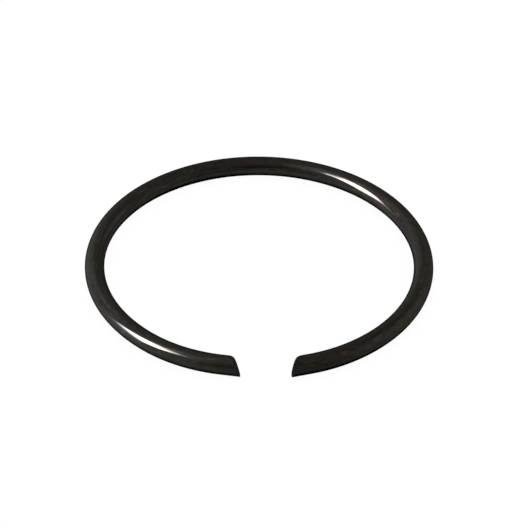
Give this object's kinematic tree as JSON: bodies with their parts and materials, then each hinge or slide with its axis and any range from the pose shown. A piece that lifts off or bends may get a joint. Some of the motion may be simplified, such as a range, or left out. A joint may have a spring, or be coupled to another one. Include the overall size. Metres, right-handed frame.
{
  "type": "round wire snap ring",
  "caption": "Open retaining ring of round black spring wire; its sheared ends face each other across a narrow gap, and it springs into a shaft groove.",
  "frame": {"origin": "on the surface that the ring lies on, where the ring's axis meets it", "axes": "+Z along the ring's axis, up from the surface; the middle of the gap is towards -Y; +X to the right of someone who faces the gap from outside"},
  "size_m": [0.0462, 0.046, 0.0026],
  "materials": {
    "blackened_spring_steel": "gloss"
  },
  "bodies": {
    "root": {"snap_ring": "blackened_spring_steel"}
  },
  "joints": []
}
